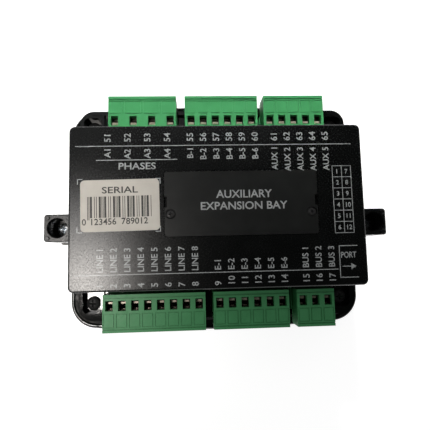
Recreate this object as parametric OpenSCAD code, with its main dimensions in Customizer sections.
// Panel-mounted generator-set controller, lying on its front with its terminals up.
// X runs along the terminal rows, Y across them, Z from the front rim to the rear face.

/* [Bezel] */
// Width of the front bezel
bezel_w = 134; // [131:0.5:146]
// Height of the front bezel, at the middle
bezel_h = 106.8; // [106:0.2:120]
// Corner radius of the bezel
bezel_r = 12; // [9:0.5:16]
// Radius of the bezel's upper and lower sides, which bow outwards
bezel_bow = 700; // [650:10:3000]
// Height of the panel seat above the front rim
bezel_d = 9; // [8:0.25:10.5]
// Rounding of the bezel's outer edges
bezel_edge = 2; // [0.5:0.25:3]
// Width of the raised rim round the front
rim_w = 4; // [3:0.25:5]
// Depth of the front face below the rim
rim_drop = 1.2; // [1:0.1:2]
// Thickness of the bezel's face plate
face_t = 2; // [1.5:0.1:2.5]
// Thickness of the printed overlay sheet
overlay_t = 0.4; // [0.2:0.1:0.6]

/* [Rear housing] */
// Overall depth from the front rim to the rear face
case_d = 46; // [44:0.5:60]
// Width of the body that passes through the panel
body_w = 118; // [116:0.5:124]
// Height of the body that passes through the panel
body_h = 90.5; // [90:0.5:97]
// Corner radius of the body
body_r = 6; // [5:0.5:9]
// Wall of the body
body_wall = 1.7; // [1.2:0.1:2]
// Height of the body's upper edge above the front rim
terrace_z = 25; // [24:0.25:27]
// Depth of the terrace floor below the body's edge
terrace_drop = 2; // [1:0.25:3]
// Thickness of the terrace floor
terrace_t = 2; // [1.5:0.25:2.5]
// How far the tower's sides stand in from the body's sides
tower_in = 1.9; // [1:0.1:4]
// Width of the terrace between the tower and the body's upper or lower side
terrace_w = 13.5; // [13.25:0.05:16]
// Corner radius of the tower
tower_r = 2.2; // [1.5:0.1:4]
// Side wall of the tower
tower_wall = 2; // [1.5:0.1:2.5]
// Thickness of the rear wall
rear_t = 2.4; // [2:0.1:3.5]
// Rounding of the rear face's edges
rear_edge = 0.8; // [0.3:0.1:1.2]

/* [Housing screws] */
// Distance of the screws from the body's left or right side
screw_in_x = 5.5; // [5:0.25:7]
// Distance of the screws from the body's upper or lower side
screw_in_y = 6.85; // [6.5:0.05:9.5]
// Thread diameter
screw_d = 3; // [2.5:0.1:3]
// Head diameter
screw_head_d = 6; // [5:0.1:6.4]
// Head height
screw_head_h = 2.2; // [1.6:0.1:2.6]
// Half width of a screw pocket
pocket_half = 3.9; // [3.6:0.1:4]
// Depth of a screw pocket below the body's edge
pocket_deep = 4.2; // [3:0.1:5]
// Wall of a screw pocket
pocket_wall = 1.1; // [0.8:0.1:1.3]

/* [Module bay] */
// Width of the blanking cover
cover_w = 59.4; // [50:0.5:62]
// Height of the blanking cover
cover_h = 25; // [22:0.5:28]
// Gap between the label and the cover
cover_from_label = 1.8; // [0.6:0.1:3]
// Place of the cover along the height
cover_y = 0.95; // [-2:0.05:3]
// Thickness of the cover
cover_t = 1.6; // [1:0.1:2]
// Width of the ledge under the cover
cover_ledge = 2; // [1.5:0.1:3]
// Height of the cover's screws on the rear face
cover_screw_y = -3; // [-6:0.5:6]
// Distance of each cover screw from the cover's end
cover_screw_in = 2.3; // [2.2:0.1:3]

/* [Serial label] */
// Width of the label
label_w = 29.8; // [20:0.2:32]
// Height of the label
label_h = 19.8; // [12:0.2:24]
// Distance of the label from the tower's left side
label_in = 4.6; // [1.6:0.2:5.6]
// Place of the label along the height
label_y = 0.8; // [-4:0.2:4]
// Turn of the label on the rear face, in degrees
label_turn = 0.8; // [-2:0.1:2]
// Thickness of the label
label_t = 0.12; // [0.08:0.02:0.3]

/* [Panel brackets] */
// Distance of a bracket's screw from the side of the tower
bracket_reach = 6; // [5.6:0.1:7]
// Height of a bracket across the rows
bracket_h = 10.8; // [10.4:0.1:13]
// Width of a bracket
bracket_w = 11; // [10.8:0.1:13]
// Place of the brackets across the rows
bracket_y = -7; // [-9:0.5:0]
// Height of the brackets' upper face
bracket_top = 40; // [38:0.5:42]
// Height of the brackets' lower end
bracket_foot = 20; // [19:0.5:22]
// Diameter of the screwdriver bore
bracket_bore = 8; // [7:0.1:8.4]
// Depth of the screwdriver bore
bracket_bore_deep = 10; // [8:0.5:12]
// Diameter of the bracket screw
bracket_screw_d = 4; // [3:0.1:4]
// Head diameter of the bracket screw
bracket_head_d = 5.4; // [5:0.1:6]
// Height of the bracket screw's tip above the front rim
bracket_tip = 15; // [14.5:0.5:17]

/* [Terminal blocks] */
// Pitch of the small terminals
pitch = 5.08; // [5:0.01:5.08]
// Pitch of the wide terminals
wide_pitch = 7.62; // [7.5:0.01:7.62]
// Distance of the upper row's first plug from the body's left side
upper_start = 14.73; // [14.4:0.01:15.2]
// Gap after the upper row's first plug
upper_gap_left = 3.59; // [1:0.01:4]
// Gap after the upper row's second plug
upper_gap_right = 2.66; // [1:0.01:3]
// Distance of the lower row's first plug from the body's left side
lower_start = 12.58; // [12.4:0.01:13]
// Gap between the lower row's plugs
lower_gap = 3.24; // [1:0.01:3.4]
// Distance of the upper row's wire holes from the tower
upper_out = 5.35; // [5:0.05:6.4]
// Distance of the lower row's wire holes from the tower
lower_out = 6.25; // [5:0.05:6.4]
// Height of a plug across the row
plug_h = 14.8; // [13:0.1:15]
// Distance from the plug's inner face to the wire holes' row
plug_in = 4.4; // [4.2:0.1:4.6]
// Length of a plug from its nose to its wire face
plug_l = 18.5; // [17:0.1:20]
// Length of a plug's nose
nose_l = 8.9; // [8.6:0.1:9.4]
// Thickness of a plug's nose
nose_h = 6.8; // [6:0.1:7]
// Width of a wire hole
wire_w = 3; // [2.6:0.1:3.2]
// Height of a wire hole
wire_h = 4; // [3:0.1:4.2]
// Thickness of a header's floor
header_floor = 4; // [3:0.1:5]
// Height of a header above the main board
header_h = 12; // [11:0.1:12.4]
// Wall of a header
header_wall = 0.9; // [0.7:0.1:1]
// Width of a square header pin
pin_w = 1; // [0.8:0.1:1.1]

/* [Boards] */
// Thickness of the circuit boards
board_t = 1.6; // [1.2:0.1:1.6]
// Gap between the two boards
board_gap = 2.2; // [2:0.1:3]
// Depth of the display module
display_d = 4.8; // [4.6:0.1:5.4]
// Margin between the boards and the body's wall
board_margin = 1.7; // [1.5:0.1:3]
// Distance of the board posts from the body's left or right side
post_in = 11; // [10:0.5:13]
// Height of the upper board posts
post_top_y = 22; // [18:0.5:24]
// Height of the lower board posts
post_low_y = -10; // [-11:0.5:-6]
// Diameter of a board post
post_d = 6; // [5:0.5:7]
// Diameter of a board post's locating pin
post_pin_d = 2.9; // [2:0.1:3.2]

/* [Display and keys] */
// Width of the visible display
window_w = 64; // [50:1:66]
// Height of the visible display
window_h = 34; // [26:1:35]
// Place of the display across the height
window_y = 18; // [16:0.5:20]
// Diameter of the four mode keys
mode_key_d = 13; // [10:0.5:14]
// Diameter of the four page keys
page_key_d = 9; // [7:0.5:9.5]
// Place of the mode keys across the height
mode_key_y = -31; // [-32:0.5:-30]
// Place of the page keys across the height
page_key_y = -11; // [-12:0.25:-10.5]
// Distance of the outer keys from the body's left or right side
key_in = 21.5; // [20:0.25:25]
// How far a key stands proud of the overlay
key_proud = 0.7; // [0.3:0.1:0.8]
// Travel of a key
key_travel = 0.5; // [0.3:0.1:0.6]
// Diameter of a status light
led_d = 3; // [2:0.1:3.2]
// Place of the status lights across the height
led_y = -20; // [-20.5:0.25:-19.5]

/* [Hidden] */
$fn = 64;
PLACES = ["top_left", "top_middle", "top_right", "bottom_left", "bottom_middle", "bottom_right"];
KEYS = ["left", "down", "up", "right", "stop", "test", "auto", "run"];

// Clearances and small amounts
over = 1;
snug = 0.1;
fit = 0.15;
slip = 0.3;
run_gap = 0.4;

// Tower and housing screws
tower_w = body_w - 2 * tower_in;
tower_h = body_h - 2 * terrace_w;
screw_x = body_w / 2 - screw_in_x;
screw_y = body_h / 2 - screw_in_y;

// Bezel's corners, just under the ends of the bowed sides
corner_x = bezel_w / 2 - bezel_r;
bow_y = bezel_h / 2 - bezel_bow;
bow_x = corner_x - snug;
bow_facets = 720;
corner_y = bow_y + sqrt(bezel_bow * bezel_bow - bow_x * bow_x) - bezel_r - snug / 2;

// Heights of the layers, counted from the front rim
plate_z = rim_drop + overlay_t;
inner_z = plate_z + face_t;
display_gap = 0.2;
keypad_z = inner_z + display_gap + display_d;
main_z = keypad_z + board_t + board_gap;
deck_z = main_z + board_t;
floor_z = terrace_z - terrace_drop - terrace_t;
pocket_z = terrace_z - pocket_deep;
pocket_floor_t = 2;
ceiling_z = case_d - rear_t;

// Panel seat, gasket and locating lip
gasket_w = 3.2;
gasket_t = 2;
gasket_sunk = 1;
lip_t = 1.2;
lip_h = 2;
boss_d = 6.6;
boss_bottom_t = 2.4;
boss_bore_z = inner_z + boss_bottom_t;
boss_top = pocket_z - pocket_floor_t - slip;

// Boards
board_w = body_w - 2 * (body_wall + board_margin);
board_h = body_h - 2 * (body_wall + board_margin);
board_r = body_r - body_wall - board_margin;
post_x = body_w / 2 - post_in;
post_pin_h = 1.6;
pin_top = deck_z + post_pin_h;
post_bore_deep = 3;
POSTS = [for (sx = [-1, 1]) for (y = [post_low_y, post_top_y]) [sx * post_x, y]];
SCREWS = [for (sx = [-1, 1]) for (sy = [-1, 1]) [sx, sy]];

// Terminal blocks: poles, pitch, room to the left, side of the row
BLOCKS = [[4, wide_pitch, upper_start, 1], [6, pitch, upper_gap_left, 1], [5, pitch, upper_gap_right, 1],
          [8, pitch, lower_start, -1], [6, pitch, lower_gap, -1], [3, pitch, lower_gap, -1]];
row_blocks = 3;
function row_y(side) = tower_h / 2 + (side > 0 ? upper_out : lower_out);
function poles(i) = BLOCKS[i][0];
function pole_pitch(i) = BLOCKS[i][1];
function pole_x(i, k) = (k - (poles(i) - 1) / 2) * pole_pitch(i);
end_margin = pitch / 2;
function plug_len(i) = (poles(i) - 1) * pole_pitch(i) + 2 * end_margin;
function plug_left(i) =
    BLOCKS[i][2] + (i % row_blocks == 0 ? -body_w / 2 : plug_left(i - 1) + plug_len(i - 1));
function block_x(i) = plug_left(i) + plug_len(i) / 2;
nose_in = 1;
function nose_len(i) = plug_len(i) - 2 * nose_in;
function header_len(i) = nose_len(i) + 2 * (slip + header_wall);
header_depth = nose_h + 2 * (slip + header_wall);
nose_shift = 0.2;
nose_v = plug_in - nose_h / 2 + nose_shift;
header_v = nose_v - slip - header_wall;
plug_z = deck_z + header_floor;
screw_axis_up = 4.2;
screw_axis_z = nose_l + screw_axis_up;
cage_w = 4.2;
cage_h = 5;
cage_l = 5.6;
cage_z = screw_axis_z - cage_l / 2;
cage_v = plug_in - cage_h / 2 + nose_shift;
socket_wall = 0.3;
socket_w = pin_w + 2 * (slip + socket_wall);
term_screw_d = 2.5;
term_head_d = 3.7;
term_head_h = 1.6;
term_sunk = 1.2;
term_screw_in = 1.2;
groove_w = 0.5;
groove_deep = 0.5;
groove_in = 1.3;
tab_from_wire = 0.9;
tab_from_groove = 0.7;
tab_low_v = plug_in + wire_h / 2 + tab_from_wire;
tab_high_v = plug_h - groove_in - tab_from_groove;
tab_line = 0.35;
tab_deep = 0.3;

// Service socket
socket_y = -22.5;
service_w = 12;
service_h = 10.8;
service_l = 16;
service_shell = 0.4;
service_end = body_w / 2 - service_shell;
service_rim = 4 * service_shell;
mouth_deep = 9;
tongue_w = 5.6;
tongue_h = 3.2;

// Serial label and module bay
label_r = 1.6;
label_x = label_in + label_w / 2 - tower_w / 2;
cover_x = label_x + (label_w + cover_w) / 2 + cover_from_label;
cover_gap = 0.25;
cover_r = 1.2;
cover_screw_d = 2;
cover_head_d = 3.6;
cover_head_h = 1.1;
cover_boss_d = 4.2;
cover_boss_h = 6;
cover_head_sunk = 0.9;
cover_notch_w = 1;
cover_notch_h = 4.2;
cover_notch_y = 1.7;
function cover_screw_x(s) = cover_x + s * (cover_w / 2 - cover_screw_in);

// Panel brackets
bracket_r = 1.2;
bracket_edge = 0.4;
hook_t = 2;
hook_h = 7;
hook_lip = 1.2;
hook_in = 1.6;
hook_up = 2;
hook_down = 5;
HOOK_Z = [terrace_z + hook_up, bracket_top - hook_down];
bracket_wing_h = 12.4;
bracket_wing_t = 3;
bracket_wing_short = 1;
dimple_d = 1.9;
dimple_deep = 0.25;
dimple_in = 1.6;

// Display and keys
lens_margin = 2;
lens_t = 1.5;
frame_margin = 4;
frame_short = 1;
glass_t = 1.1;
key_flange = 1.2;
key_flange_t = 1;
key_hole = 0.35;
key_dish = 0.25;
switch_w = 6;
plunger_d = 3.4;
plunger_h = 0.8;
switch_top = inner_z + run_gap + key_flange_t + key_travel + slip;
keys_across = 4;
key_step = (body_w - 2 * key_in) / (keys_across - 1);
function key_x(k) = (k % keys_across - (keys_across - 1) / 2) * key_step;
function key_y(k) = k < keys_across ? page_key_y : mode_key_y;
function key_d(k) = k < keys_across ? page_key_d : mode_key_d;

// Parts on the main board: size, first place, step
processor_size = [14, 14, 1.4];
processor_at = [-24, 8];
relay_size = [7.4, 12, 10.2];
relay_at = [-36, -22];
relay_step = [9, 0];
relay_count = 5;
coil_base = [9, 9, 2.4];
coil_size = [6, 8, 8.5];
coil_at = [-8, 23];
coil_step = [12, 0];
coil_count = 3;
can_d = 8;
can_h = 11.5;
can_from_post = 8;
can_y = -2;
can_at = [can_from_post - post_x, can_y];
can_step = [0, 9.5];
can_count = 3;
module_pins = 6;
module_pin_step = 2.54;
module_socket_h = 8.5;
module_hole_w = 1;
strip_size = [28, 5];

// Colours
black = [0.06, 0.06, 0.065];
green = [0.2, 0.52, 0.3];
metal = [0.75, 0.75, 0.74];
board = [0.05, 0.28, 0.14];

// Rounded rectangle, centred
module round_rect(w, h, r) {
    square([w - 2 * r, h], center = true);
    square([w, h - 2 * r], center = true);
    for (sx = [-1, 1], sy = [-1, 1])
        translate([sx * (w / 2 - r), sy * (h / 2 - r)]) circle(r);
}

// Flat slab with rounded corners in plan
module slab(w, h, r, t) {
    linear_extrude(t) round_rect(w, h, r);
}

// Half section of a slab's side, with its upper and lower edges rounded
module edge_section(reach, t, low, high) {
    square([reach - max(low, high), t]);
    translate([0, low]) square([reach, t - low - high]);
    translate([reach - high, t - high]) circle(high);
    if (low > 0) translate([reach - low, low]) circle(low);
}

// Slab whose long edges are rounded as well as its corners
module soft_slab(w, h, r, t, low, high) {
    for (sx = [-1, 1], sy = [-1, 1])
        translate([sx * (w / 2 - r), sy * (h / 2 - r), 0])
            rotate_extrude() intersection() {
                edge_section(r, t, low, high);
                square([r, t]);
            }
    for (turn = [0, 180]) {
        rotate(turn) translate([w / 2 - r, h / 2 - r, 0]) rotate([90, 0, 0])
            linear_extrude(h - 2 * r) edge_section(r, t, low, high);
        rotate(turn + 90) translate([h / 2 - r, w / 2 - r, 0]) rotate([90, 0, 0])
            linear_extrude(w - 2 * r) edge_section(r, t, low, high);
    }
    block(w - 2 * r + snug, h - 2 * r + snug, t);
}

// Bezel's outline, set in by a distance
module bezel_outline(inset) {
    square([bezel_w - 2 * inset, 2 * corner_y], center = true);
    for (sx = [-1, 1], sy = [-1, 1]) translate([sx * corner_x, sy * corner_y]) circle(bezel_r - inset);
    for (turn = [0, 180]) rotate(turn) intersection() {
        translate([0, bow_y]) circle(bezel_bow - inset, $fn = bow_facets);
        translate([-bow_x, 0]) square([2 * bow_x, bezel_h]);
    }
}

// Bezel's block, with rounded outer edges
module bezel_block() {
    low = bezel_edge;
    high = bezel_edge / 2;
    for (sx = [-1, 1], sy = [-1, 1]) translate([sx * corner_x, sy * corner_y, 0])
        rotate_extrude() intersection() {
            edge_section(bezel_r, bezel_d, low, high);
            square([bezel_r, bezel_d]);
        }
    for (turn = [0, 180]) rotate(turn) {
        translate([corner_x, corner_y, 0]) rotate([90, 0, 0])
            linear_extrude(2 * corner_y) edge_section(bezel_r, bezel_d, low, high);
        intersection() {
            translate([0, bow_y, 0]) rotate_extrude($fn = bow_facets)
                edge_section(bezel_bow, bezel_d, low, high);
            translate([-bow_x, 0, -over]) cube([2 * bow_x, bezel_h, bezel_d + 2 * over]);
        }
    }
    block(2 * corner_x + snug, 2 * corner_y, bezel_d);
}

// Box centred along X and Y, standing on Z
module block(w, h, t) {
    translate([-w / 2, -h / 2, 0]) cube([w, h, t]);
}

// Cross recess that sinks into a screw head from its top
module cross_recess(d, deep) {
    for (turn = [0, 90]) rotate(turn) translate([0, 0, -deep]) block(0.62 * d, 0.16 * d, deep + over);
}

// Screw hanging from its head, with a rounded head and a cross recess
module cross_screw(d, length, head_d, head_h) {
    round_edge = 0.35 * head_h;
    difference() {
        union() {
            translate([0, 0, -length]) cylinder(d = d, h = length + head_h / 2);
            rotate_extrude() intersection() {
                edge_section(head_d / 2, head_h, 0, round_edge);
                square([head_d / 2, head_h]);
            }
        }
        translate([0, 0, head_h]) cross_recess(head_d, 0.5 * head_h);
    }
}

// Places of repeated things
module at_screws(z) {
    for (s = SCREWS) translate([s[0] * screw_x, s[1] * screw_y, z]) children();
}
module at_posts(z) {
    for (p = POSTS) translate([p[0], p[1], z]) children();
}
module at_keys(z) {
    for (k = [0 : len(KEYS) - 1]) translate([key_x(k), key_y(k), z]) {
        $key = k;
        children();
    }
}
module at_leds(z) {
    for (k = [0 : keys_across - 1]) translate([key_x(k), led_y, z]) children();
}

// Puts a terminal block's own frame in place: X along the row, Y outwards from the plug's inner face
module at_block(i, z) {
    side = BLOCKS[i][3];
    translate([block_x(i), side * (row_y(side) - plug_in), z]) mirror([0, side < 0 ? 1 : 0, 0]) children();
}

module front_bezel() {
    color(black) difference() {
        union() {
            difference() {
                bezel_block();
                translate([0, 0, -over]) linear_extrude(plate_z + over) bezel_outline(rim_w);
                translate([0, 0, inner_z])
                    slab(body_w - 2 * body_wall, body_h - 2 * body_wall, body_r - body_wall, bezel_d);
                translate([0, 0, bezel_d - gasket_sunk]) gasket_ring(fit, gasket_t);
            }
            translate([0, 0, inner_z]) locating_lip();
            at_screws(inner_z) cylinder(d = boss_d, h = boss_top - inner_z);
            at_posts(inner_z) {
                cylinder(d = post_d, h = keypad_z - inner_z);
                cylinder(d = post_pin_d, h = pin_top - inner_z);
            }
        }
        translate([0, window_y, 0])
            block(window_w + 2 * (lens_margin + fit), window_h + 2 * (lens_margin + fit), inner_z + over);
        at_keys(0) cylinder(d = key_d($key) + 2 * key_hole, h = inner_z + over);
        at_leds(0) cylinder(d = led_d + 2 * fit, h = inner_z + over);
        at_screws(boss_bore_z) cylinder(d = screw_d + snug, h = boss_top);
    }
}

// Lip that keys the rear housing to the bezel
module locating_lip() {
    inside = body_wall + fit;
    linear_extrude(bezel_d + lip_h - inner_z) difference() {
        round_rect(body_w - 2 * inside, body_h - 2 * inside, body_r - inside);
        round_rect(body_w - 2 * (inside + lip_t), body_h - 2 * (inside + lip_t), body_r - inside - lip_t);
    }
}

// Ring round the body on the panel seat, grown by a clearance on both sides
module gasket_ring(grow, t) {
    inner = slip - grow;
    outer = slip + gasket_w + grow;
    linear_extrude(t) difference() {
        round_rect(body_w + 2 * outer, body_h + 2 * outer, body_r + outer);
        round_rect(body_w + 2 * inner, body_h + 2 * inner, body_r + inner);
    }
}

module panel_gasket() {
    color([0.1, 0.1, 0.1]) translate([0, 0, bezel_d - gasket_sunk]) gasket_ring(0, gasket_t);
}

module front_overlay() {
    color([0.16, 0.17, 0.19]) translate([0, 0, rim_drop]) difference() {
        linear_extrude(overlay_t) bezel_outline(rim_w + fit);
        translate([0, window_y, -over]) block(window_w, window_h, overlay_t + 2 * over);
        at_keys(-over) cylinder(d = key_d($key) + 2 * key_hole, h = overlay_t + 2 * over);
        at_leds(-over) cylinder(d = led_d + 2 * fit, h = overlay_t + 2 * over);
    }
}

module display_window() {
    color([0.8, 0.88, 0.9, 0.5]) translate([0, window_y, plate_z])
        block(window_w + 2 * lens_margin, window_h + 2 * lens_margin, lens_t);
}

module display_module() {
    frame_w = window_w + 2 * (lens_margin + frame_margin);
    frame_h = window_h + 2 * (lens_margin + frame_margin - frame_short);
    color([0.5, 0.5, 0.52]) translate([0, window_y, keypad_z - display_d]) difference() {
        block(frame_w, frame_h, display_d);
        translate([0, 0, -over]) block(window_w, window_h, glass_t + over);
    }
}

module display_glass() {
    color([0.55, 0.62, 0.5]) translate([0, window_y, keypad_z - display_d + snug])
        block(window_w - 2 * fit, window_h - 2 * fit, glass_t - snug);
}

// Shape of one key, standing on its face
module key_cap(d) {
    shoulder = inner_z + run_gap - (rim_drop - key_proud);
    difference() {
        union() {
            rotate_extrude() intersection() {
                translate([0, shoulder]) mirror([0, 1]) edge_section(d / 2, shoulder, 0, key_proud);
                square([d / 2, shoulder]);
            }
            translate([0, 0, shoulder]) cylinder(d = d + 2 * key_flange, h = key_flange_t);
        }
        translate([0, 0, key_dish - 2 * d]) sphere(r = 2 * d, $fn = 96);
    }
}

module key(k) {
    shades = [[0.3, 0.3, 0.32], [0.65, 0.1, 0.1], [0.3, 0.3, 0.32], [0.3, 0.3, 0.32], [0.1, 0.45, 0.2]];
    color(shades[max(0, k - 3)]) translate([key_x(k), key_y(k), rim_drop - key_proud]) key_cap(key_d(k));
}

module status_leds() {
    tip = rim_drop + overlay_t / 2;
    color([0.85, 0.75, 0.6]) at_leds(tip) {
        translate([0, 0, led_d / 2]) sphere(d = led_d);
        translate([0, 0, led_d / 2]) cylinder(d = led_d, h = keypad_z - tip - led_d / 2);
    }
}

module tact_switches() {
    color([0.15, 0.15, 0.16]) at_keys(switch_top) {
        translate([0, 0, plunger_h]) block(switch_w, switch_w, keypad_z - switch_top - plunger_h);
        cylinder(d = plunger_d, h = plunger_h + snug);
    }
}

// Board outline with notches for the screw bosses and holes for the posts
module board_blank(z) {
    notch_d = boss_d + 2 * run_gap;
    translate([0, 0, z]) difference() {
        slab(board_w, board_h, board_r, board_t);
        at_screws(-over) cylinder(d = notch_d, h = board_t + 2 * over);
        at_posts(-over) cylinder(d = post_pin_d + 2 * fit, h = board_t + 2 * over);
    }
}

module keypad_board() {
    color(board) board_blank(keypad_z);
}

module main_board() {
    color(board) difference() {
        board_blank(main_z);
        for (i = [0 : len(BLOCKS) - 1], k = [0 : poles(i) - 1]) at_block(i, main_z - over)
            translate([pole_x(i, k), plug_in, 0]) block(pin_w + 2 * fit, pin_w + 2 * fit, board_t + 2 * over);
    }
}

module board_spacers() {
    color([0.85, 0.85, 0.8]) at_posts(keypad_z + board_t) difference() {
        cylinder(d = post_d, h = board_gap);
        translate([0, 0, -over]) cylinder(d = post_pin_d + 2 * fit, h = board_gap + 2 * over);
    }
}

module board_connector() {
    color([0.12, 0.12, 0.12]) translate([0, 0, keypad_z + board_t])
        block(strip_size[0], strip_size[1], board_gap);
}

// Outline of the body, set in by a distance
module body_outline(inset) {
    round_rect(body_w - 2 * inset, body_h - 2 * inset, body_r - inset);
}

// Walled box round one screw head, open at the top
module screw_pocket() {
    mid_x = screw_x;
    low_y = tower_h / 2 - tower_wall / 2;
    high_y = screw_y + pocket_half;
    reach = body_w / 2 - body_wall / 2;
    intersection() {
        translate([mid_x - pocket_half - pocket_wall, low_y, pocket_z - pocket_floor_t])
            cube([reach - mid_x + pocket_half + pocket_wall, high_y + pocket_wall - low_y,
                  pocket_deep + pocket_floor_t]);
        linear_extrude(case_d) body_outline(body_wall / 2);
    }
}

module screw_pocket_void() {
    corner = 2;
    low_y = tower_h / 2;
    high_y = screw_y + pocket_half;
    wide = min(pocket_half, body_w / 2 - body_wall - screw_x);
    translate([screw_x - pocket_half, low_y, pocket_z]) {
        cube([pocket_half + wide, high_y - corner - low_y, pocket_deep + over]);
        translate([corner, 0, 0]) cube([pocket_half + wide - 2 * corner, high_y - low_y, pocket_deep + over]);
        for (x = [corner, pocket_half + wide - corner])
            translate([x, high_y - low_y - corner, 0]) cylinder(r = corner, h = pocket_deep + over);
    }
    translate([screw_x, screw_y, 0]) cylinder(d = screw_d + 2 * fit, h = terrace_z);
}

module at_corners() {
    for (s = SCREWS) mirror([s[0] < 0 ? 1 : 0, 0, 0]) mirror([0, s[1] < 0 ? 1 : 0, 0]) children();
}

// Opening of the module bay, with the ledge that the cover rests on
module module_bay() {
    translate([cover_x, cover_y, case_d - cover_t])
        slab(cover_w + 2 * cover_gap, cover_h + 2 * cover_gap, cover_r + cover_gap, cover_t + over);
    translate([cover_x, cover_y, ceiling_z - over])
        slab(cover_w - 2 * cover_ledge, cover_h - 2 * cover_ledge, cover_r, rear_t + over);
}

module cover_bosses() {
    for (s = [-1, 1]) translate([cover_screw_x(s), cover_screw_y, case_d - cover_t - cover_boss_h])
        cylinder(d = cover_boss_d, h = cover_boss_h);
}

// Opening in the terrace floor that a header stands in
module header_slot(i) {
    wide = header_len(i) + 2 * run_gap;
    at_block(i, floor_z - over) translate([0, header_v + header_depth / 2, 0])
        block(wide, header_depth + 2 * run_gap, terrace_t + terrace_drop);
}

// Slots in the tower's sides for the hooks of the brackets
module bracket_slots() {
    for (s = [-1, 1], z = HOOK_Z) translate([s * tower_w / 2, bracket_y, z - fit])
        block(2 * tower_wall + over, hook_h + 2 * fit, hook_t + hook_lip + 2 * fit);
}

module rear_housing() {
    tower_in_w = tower_w - 2 * tower_wall;
    tower_in_h = tower_h - 2 * tower_wall;
    color(black) difference() {
        union() {
            difference() {
                union() {
                    translate([0, 0, bezel_d]) linear_extrude(terrace_z - bezel_d) difference() {
                        body_outline(0);
                        body_outline(body_wall);
                    }
                    translate([0, 0, floor_z]) linear_extrude(terrace_t) body_outline(body_wall / 2);
                    at_corners() screw_pocket();
                    translate([0, 0, floor_z])
                        soft_slab(tower_w, tower_h, tower_r, case_d - floor_z, 0, rear_edge);
                }
                translate([0, 0, floor_z - over])
                    slab(tower_in_w, tower_in_h, tower_r / 2, ceiling_z - floor_z + over);
                at_corners() screw_pocket_void();
                for (i = [0 : len(BLOCKS) - 1]) header_slot(i);
                module_bay();
                bracket_slots();
            }
            cover_bosses();
            at_posts(deck_z) cylinder(d = post_d, h = ceiling_z + snug - deck_z);
        }
        for (s = [-1, 1]) translate([cover_screw_x(s), cover_screw_y, case_d - cover_t - cover_boss_h])
            cylinder(d = cover_screw_d + snug, h = cover_boss_h + over);
        at_posts(deck_z - over) cylinder(d = post_pin_d + 2 * fit, h = post_bore_deep + over);
        translate([service_end - service_l - over, socket_y - service_w / 2 - fit, deck_z])
            cube([service_l + 3 * over, service_w + 2 * fit, service_h + fit]);
    }
}

module housing_screws() {
    color([0.1, 0.1, 0.1]) at_screws(pocket_z)
        cross_screw(screw_d, pocket_z - boss_bore_z - over, screw_head_d, screw_head_h);
}

module module_cover() {
    sunk_z = case_d - cover_head_sunk;
    color(black) difference() {
        translate([cover_x, cover_y, case_d - cover_t]) slab(cover_w, cover_h, cover_r, cover_t);
        for (s = [-1, 1]) {
            translate([cover_screw_x(s), cover_screw_y, case_d - cover_t - over])
                cylinder(d = cover_screw_d + 2 * fit, h = cover_t + 2 * over);
            translate([cover_screw_x(s), cover_screw_y, sunk_z])
                cylinder(d = cover_head_d + 2 * fit, h = cover_t);
            translate([cover_x + s * cover_w / 2, cover_notch_y, case_d - cover_t - over])
                block(2 * cover_notch_w, cover_notch_h, cover_t + 2 * over);
        }
    }
}

module module_cover_screws() {
    color([0.12, 0.12, 0.12])
        for (s = [-1, 1]) translate([cover_screw_x(s), cover_screw_y, case_d - cover_head_sunk])
            cross_screw(cover_screw_d, cover_boss_h - over, cover_head_d, cover_head_h - slip);
}

module serial_label() {
    color([0.86, 0.84, 0.8]) translate([label_x, label_y, case_d]) rotate(label_turn)
        slab(label_w, label_h, label_r, label_t);
}

// Panel bracket on the right side; the left one is its mirror image
module bracket() {
    wall_x = tower_w / 2 + snug;
    bore_x = tower_w / 2 + bracket_reach;
    block_h = bracket_top - bracket_foot;
    mid_x = wall_x + bracket_w / 2;
    color(black) difference() {
        union() {
            translate([mid_x, bracket_y, bracket_foot])
                soft_slab(bracket_w, bracket_h, bracket_r, block_h, 0, bracket_edge);
            translate([mid_x - bracket_wing_short / 2, bracket_y, bracket_foot])
                slab(bracket_w - bracket_wing_short, bracket_wing_h, bracket_r, bracket_wing_t);
            for (z = HOOK_Z) translate([wall_x - tower_wall - hook_in - snug, bracket_y - hook_h / 2, z]) {
                cube([tower_wall + hook_in + bracket_r + over, hook_h, hook_t]);
                cube([hook_in - fit, hook_h, hook_t + hook_lip]);
            }
        }
        translate([0, bracket_y - bracket_wing_h, 0])
            cube([body_w / 2 + slip, 2 * bracket_wing_h, terrace_z + slip]);
        translate([bore_x, bracket_y, bracket_top - bracket_bore_deep])
            cylinder(d = bracket_bore, h = bracket_bore_deep + over);
        translate([bore_x, bracket_y, bracket_foot - over])
            cylinder(d = bracket_screw_d + snug, h = block_h);
        for (sx = [-1, 1], sy = [-1, 1])
            translate([mid_x + sx * (bracket_w / 2 - dimple_in), bracket_y + sy * (bracket_h / 2 - dimple_in),
                       bracket_top - dimple_deep])
                cylinder(d = dimple_d, h = over);
    }
}

module bracket_screws() {
    head_h = 0.5 * bracket_head_d;
    seat = bracket_top - bracket_bore_deep;
    color(metal) for (s = [-1, 1]) translate([s * (tower_w / 2 + bracket_reach), bracket_y, seat])
        cross_screw(bracket_screw_d, seat - bracket_tip, bracket_head_d, head_h);
}

// Header: a trough on the main board with a floor that holds the pins
module header(i) {
    color(green) at_block(i, deck_z) translate([0, header_v + header_depth / 2, 0]) difference() {
        block(header_len(i), header_depth, header_h);
        translate([0, 0, header_floor - slip])
            block(header_len(i) - 2 * header_wall, header_depth - 2 * header_wall, header_h);
        for (k = [0 : poles(i) - 1]) translate([pole_x(i, k), plug_in - header_v - header_depth / 2, -over])
            block(pin_w + snug, pin_w + snug, header_h);
    }
}

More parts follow.
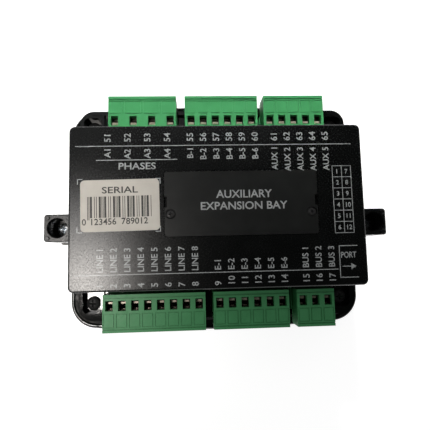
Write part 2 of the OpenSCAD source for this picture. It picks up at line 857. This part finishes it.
module header_pins() {
    tail = board_t + slip;
    short = 1.4;
    tip = header_floor + nose_l - short;
    color(metal) for (i = [0 : len(BLOCKS) - 1], k = [0 : poles(i) - 1]) at_block(i, deck_z - tail)
        translate([pole_x(i, k), plug_in, 0]) block(pin_w, pin_w, tail + tip);
}

// Side section of a plug: nose below, wide body above, with a groove near each edge of the wire face
module plug_section() {
    lean = 0.6;
    difference() {
        union() {
            translate([nose_v, 0]) square([nose_h, nose_l + over]);
            polygon([[0, nose_l], [plug_h - lean, nose_l], [plug_h, nose_l + 2 * lean],
                     [plug_h, plug_l], [0, plug_l]]);
        }
        for (v = [groove_in, plug_h - groove_in])
            translate([v - groove_w / 2, plug_l - groove_deep]) square([groove_w, groove_deep + over]);
    }
}

// Outline scribed round one pole on the wire face
module pole_outline(wide) {
    tab_h = tab_high_v - tab_low_v;
    translate([0, tab_low_v + tab_h / 2, plug_l - tab_deep]) difference() {
        block(wide, tab_h, tab_deep + over);
        translate([0, 0, -over]) block(wide - 2 * tab_line, tab_h - 2 * tab_line, tab_deep + 3 * over);
    }
}

module plug(i) {
    color(green) at_block(i, plug_z) difference() {
        union() {
            translate([-plug_len(i) / 2, 0, 0]) rotate([90, 0, 90]) linear_extrude(plug_len(i)) difference() {
                plug_section();
                translate([-over, -over]) square([plug_h + 2 * over, nose_l + over]);
            }
            translate([-nose_len(i) / 2, nose_v, 0]) cube([nose_len(i), nose_h, nose_l + over]);
        }
        for (k = [0 : poles(i) - 1]) translate([pole_x(i, k), 0, 0]) pole_voids(pole_pitch(i));
    }
}

// Wire hole, clamp chamber, pin socket, screw bore and scribed outline of one pole
module pole_voids(step) {
    translate([0, plug_in, cage_z]) block(wire_w, wire_h, plug_l);
    translate([0, cage_v + cage_h / 2, cage_z - fit])
        block(cage_w + 2 * fit, cage_h + 2 * fit, cage_l + 2 * fit);
    translate([0, plug_in, -over]) block(socket_w + 2 * fit, socket_w + 2 * fit, cage_z + over);
    translate([0, plug_h + over, screw_axis_z]) rotate([90, 0, 0])
        cylinder(d = term_head_d + 2 * fit, h = plug_h + over - cage_v - cage_h);
    pole_outline(step - 2 * tab_line);
}

// Clamp cage with the pin socket under it
module clamp_cage() {
    side_t = 0.6;
    end_t = 0.7;
    difference() {
        union() {
            translate([0, cage_v + cage_h / 2, cage_z]) block(cage_w, cage_h, cage_l);
            translate([0, plug_in, over]) block(socket_w, socket_w, cage_z);
        }
        translate([0, cage_v + cage_h / 2 - nose_shift, cage_z + socket_wall])
            block(cage_w - 2 * side_t, cage_h - 2 * end_t, cage_l);
        translate([0, plug_in, 0])
            block(socket_w - 2 * socket_wall, socket_w - 2 * socket_wall, cage_z + over);
        translate([0, cage_v + cage_h + over, screw_axis_z]) rotate([90, 0, 0])
            cylinder(d = term_screw_d + snug, h = cage_h / 2 + over);
    }
}

module clamps(i) {
    color(metal) at_block(i, plug_z)
        for (k = [0 : poles(i) - 1]) translate([pole_x(i, k), 0, 0]) clamp_cage();
}

// Slotted clamp screw, its head sunk in the plug's outer face
module clamp_screws(i) {
    head_v = plug_h - term_sunk;
    tip_v = cage_v + cage_h - term_screw_in;
    slot = 0.25 * term_head_d;
    color(metal) at_block(i, plug_z) for (k = [0 : poles(i) - 1])
        translate([pole_x(i, k), head_v, screw_axis_z]) rotate([90, 0, 0]) difference() {
            union() {
                cylinder(d = term_head_d, h = term_head_h);
                cylinder(d = term_screw_d, h = head_v - tip_v);
            }
            translate([0, 0, -over]) block(term_head_d + over, slot, over + term_head_h / 2);
        }
}

// Row of equal parts on the main board, a step apart from a starting place
module on_deck(start, step, count) {
    for (k = [0 : count - 1]) translate([start[0] + k * step[0], start[1] + k * step[1], deck_z]) children();
}

module processor() {
    color([0.08, 0.08, 0.08]) on_deck(processor_at, [0, 0], 1)
        slab(processor_size[0], processor_size[1], processor_size[2] / 4, processor_size[2]);
}

module relays() {
    color([0.1, 0.1, 0.11]) on_deck(relay_at, relay_step, relay_count)
        block(relay_size[0], relay_size[1], relay_size[2]);
}

module sense_transformers() {
    color([0.7, 0.55, 0.15]) on_deck(coil_at, coil_step, coil_count) {
        block(coil_base[0], coil_base[1], coil_base[2]);
        block(coil_size[0], coil_size[1], coil_size[2]);
    }
}

module capacitors() {
    color([0.2, 0.22, 0.35]) on_deck(can_at, can_step, can_count) cylinder(d = can_d, h = can_h);
}

// Shielded socket at the body's right side, with a tongue inside
module service_socket() {
    color(metal) translate([service_end - service_l, socket_y, deck_z]) difference() {
        translate([0, -service_w / 2, 0]) cube([service_l, service_w, service_h]);
        translate([service_l - mouth_deep, 0, 0]) difference() {
            translate([0, -service_w / 2 + service_rim, service_rim])
                cube([mouth_deep + over, service_w - 2 * service_rim, service_h - 2 * service_rim]);
            translate([-over, -tongue_w / 2, (service_h - tongue_h) / 2])
                cube([mouth_deep, tongue_w, tongue_h]);
        }
    }
}

// Socket strip that takes a plug-in module's pins
module module_socket() {
    long = module_pin_step * module_pins + module_hole_w;
    color([0.1, 0.1, 0.1]) translate([cover_x, cover_y, deck_z]) difference() {
        block(long, 2 * module_pin_step, module_socket_h);
        for (k = [0 : module_pins - 1], s = [-1, 1])
            translate([(k - (module_pins - 1) / 2) * module_pin_step, s * module_pin_step / 2, 0])
                translate([0, 0, module_socket_h / 2]) block(module_hole_w, module_hole_w, module_socket_h);
    }
}

front_bezel();
front_overlay();
display_window();
panel_gasket();
rear_housing();
housing_screws();
module_cover();
module_cover_screws();
serial_label();
mirror([1, 0, 0]) bracket();  // bracket_left
bracket();  // bracket_right
bracket_screws();
keypad_board();
main_board();
board_spacers();
board_connector();
display_module();
display_glass();
status_leds();
tact_switches();
processor();
relays();
sense_transformers();
capacitors();
service_socket();
module_socket();
header_pins();
for (i = [0 : len(PLACES) - 1]) {
    header(i);
    plug(i);
    clamps(i);
    clamp_screws(i);
}
for (k = [0 : len(KEYS) - 1]) {
    key(k);
}
